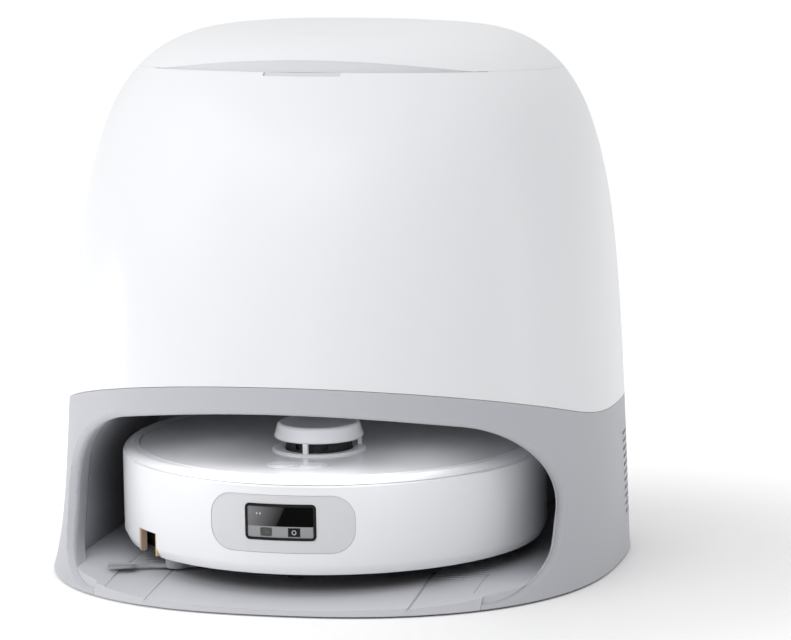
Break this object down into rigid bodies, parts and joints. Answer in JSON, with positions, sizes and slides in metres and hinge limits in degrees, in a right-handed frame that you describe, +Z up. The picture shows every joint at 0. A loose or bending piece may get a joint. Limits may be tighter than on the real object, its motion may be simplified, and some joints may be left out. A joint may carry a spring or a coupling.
{
  "type": "robot vacuum",
  "caption": "Round robot vacuum with laser turret and sprung bumper, parked in a domed docking station with garage, ramp and hinged lid.",
  "frame": {"origin": "on the floor, under the middle of the dock's outline", "axes": "+Z up, the garage mouth and the robot's front face -Y, +X to the right as seen from the front"},
  "size_m": [0.47, 0.43, 0.4391],
  "materials": {
    "dome_white": "gloss",
    "garage_grey": "satin",
    "liner_grey": "matte",
    "tray_grey": "satin",
    "rubber_dark": "matte",
    "steel": "brushed",
    "nickel": "polished",
    "tank_clear": "gloss",
    "cap_blue_grey": "satin",
    "bag_paper": "soft",
    "motor_black": "matte",
    "robot_white": "gloss",
    "robot_deck": "gloss",
    "disc_grey": "satin",
    "sensor_black": "gloss",
    "sensor_glass_dark": "polished",
    "strip_grey": "satin",
    "tyre_rubber": "matte",
    "chassis_dark": "matte",
    "brush_rubber": "matte",
    "bristle_light": "matte",
    "pad_cloth": "soft"
  },
  "bodies": {
    "dock": {"base_tray": "tray_grey", "base_feet": "rubber_dark", "wash_board": "tray_grey", "lower_housing": "garage_grey", "right_vent": "garage_grey", "left_vent": "garage_grey", "power_inlet": "liner_grey", "garage_liner": "liner_grey", "dust_port_seal": "rubber_dark", "dust_duct": "liner_grey", "upper_housing": "dome_white", "rear_panel": "dome_white", "lid_hinge_pins": "steel", "lid_grip_insert": "garage_grey", "tank_deck": "liner_grey", "dirty_water_tank": "tank_clear", "clean_water_tank": "tank_clear", "dirty_tank_cap": "cap_blue_grey", "clean_tank_cap": "cap_blue_grey", "dust_bag": "bag_paper", "suction_motor": "motor_black"},
    "lid": {"top_lid": "dome_white"},
    "left_contact_pin": {"left_contact": "nickel"},
    "right_contact_pin": {"right_contact": "nickel"},
    "robot": {"robot_chassis": "chassis_dark", "rear_shell": "robot_white", "charging_plates": "nickel", "deck_ring": "robot_deck", "top_cover": "robot_deck", "button_plate": "robot_deck", "turret_base": "robot_white", "turret_cap": "robot_white", "turret_disc": "disc_grey", "brush_tunnel": "chassis_dark", "battery_pack": "chassis_dark", "dust_bin": "chassis_dark"},
    "bumper_unit": {"bumper": "robot_white", "bumper_panel": "robot_white", "sensor_frame": "sensor_black", "sensor_glass": "sensor_glass_dark", "sensor_strip": "strip_grey", "camera_lens": "sensor_black"},
    "power_key": {"power_button": "robot_deck"},
    "home_key": {"home_button": "robot_deck"},
    "laser": {"laser_head": "motor_black"},
    "right_arm": {"right_wheel_arm": "chassis_dark"},
    "left_arm": {"left_wheel_arm": "chassis_dark"},
    "right_wheel": {"right_wheel_hub": "chassis_dark", "right_tyre": "tyre_rubber"},
    "left_wheel": {"left_wheel_hub": "chassis_dark", "left_tyre": "tyre_rubber"},
    "caster_swivel_fork": {"caster_fork": "chassis_dark"},
    "caster_roller": {"caster_wheel": "chassis_dark"},
    "brush_roller": {"main_brush": "brush_rubber"},
    "side_brush_unit": {"side_brush": "bristle_light"},
    "mop_gearbox": {"mop_carrier": "chassis_dark"},
    "left_mop": {"left_mop_plate": "chassis_dark", "left_mop_pad": "pad_cloth"},
    "right_mop": {"right_mop_plate": "chassis_dark", "right_mop_pad": "pad_cloth"}
  },
  "joints": [
    {"name": "lid_hinge", "type": "hinge", "parent": "dock", "child": "lid", "pos_m": [0, 0.19775, 0.39428], "axis": [-1, 0, 0], "range_deg": [0, 80]},
    {"name": "robot_drive", "type": "slide", "parent": "dock", "child": "robot", "axis": [0, -1, 0], "range_m": [0, 0.42]},
    {"name": "left_contact_press", "type": "slide", "parent": "dock", "child": "left_contact_pin", "axis": [0, 1, 0], "range_m": [0, 0.003], "stiffness_N_per_m": 600},
    {"name": "right_contact_press", "type": "slide", "parent": "dock", "child": "right_contact_pin", "axis": [0, 1, 0], "range_m": [0, 0.003], "stiffness_N_per_m": 600},
    {"name": "bumper_press", "type": "slide", "parent": "robot", "child": "bumper_unit", "axis": [0, 1, 0], "range_m": [0, 0.004], "stiffness_N_per_m": 800},
    {"name": "power_button_press", "type": "slide", "parent": "robot", "child": "power_key", "axis": [0, 0, -1], "range_m": [0, 0.0008], "stiffness_N_per_m": 2500},
    {"name": "home_button_press", "type": "slide", "parent": "robot", "child": "home_key", "axis": [0, 0, -1], "range_m": [0, 0.0008], "stiffness_N_per_m": 2500},
    {"name": "laser_spin", "type": "hinge", "parent": "robot", "child": "laser", "pos_m": [0, -0.0547, 0.1083], "axis": [0, 0, 1], "continuous": true},
    {"name": "right_wheel_suspension", "type": "hinge", "parent": "robot", "child": "right_arm", "pos_m": [0.1055, -0.087, 0.0633], "axis": [1, 0, 0], "range_deg": [0, 6], "stiffness_Nm_per_rad": 3, "springref_deg": -11.46},
    {"name": "left_wheel_suspension", "type": "hinge", "parent": "robot", "child": "left_arm", "pos_m": [-0.1055, -0.087, 0.0633], "axis": [1, 0, 0], "range_deg": [0, 6], "stiffness_Nm_per_rad": 3, "springref_deg": -11.46},
    {"name": "right_wheel_roll", "type": "hinge", "parent": "right_arm", "child": "right_wheel", "pos_m": [0.126, -0.039, 0.0493], "axis": [1, 0, 0], "continuous": true},
    {"name": "left_wheel_roll", "type": "hinge", "parent": "left_arm", "child": "left_wheel", "pos_m": [-0.126, -0.039, 0.0493], "axis": [1, 0, 0], "continuous": true},
    {"name": "caster_swivel", "type": "hinge", "parent": "robot", "child": "caster_swivel_fork", "pos_m": [0, -0.139, 0.0433], "axis": [0, 0, 1], "continuous": true},
    {"name": "caster_roll", "type": "hinge", "parent": "caster_swivel_fork", "child": "caster_roller", "pos_m": [0, -0.134, 0.0253], "axis": [1, 0, 0], "continuous": true},
    {"name": "main_brush_spin", "type": "hinge", "parent": "robot", "child": "brush_roller", "pos_m": [0, -0.08, 0.0373], "axis": [1, 0, 0], "continuous": true},
    {"name": "side_brush_spin", "type": "hinge", "parent": "robot", "child": "side_brush_unit", "pos_m": [-0.104, -0.117, 0.0193], "axis": [0, 0, 1], "continuous": true},
    {"name": "mop_lift", "type": "slide", "parent": "robot", "child": "mop_gearbox", "axis": [0, 0, 1], "range_m": [0, 0.01]},
    {"name": "left_mop_spin", "type": "hinge", "parent": "mop_gearbox", "child": "left_mop", "pos_m": [-0.07, 0.072, 0.0253], "axis": [0, 0, 1], "continuous": true},
    {"name": "right_mop_spin", "type": "hinge", "parent": "mop_gearbox", "child": "right_mop", "pos_m": [0.07, 0.072, 0.0253], "axis": [0, 0, 1], "continuous": true}
  ],
  "couplings": [
    {"joint": "right_mop_spin", "follows": "left_mop_spin", "ratio": -1}
  ]
}
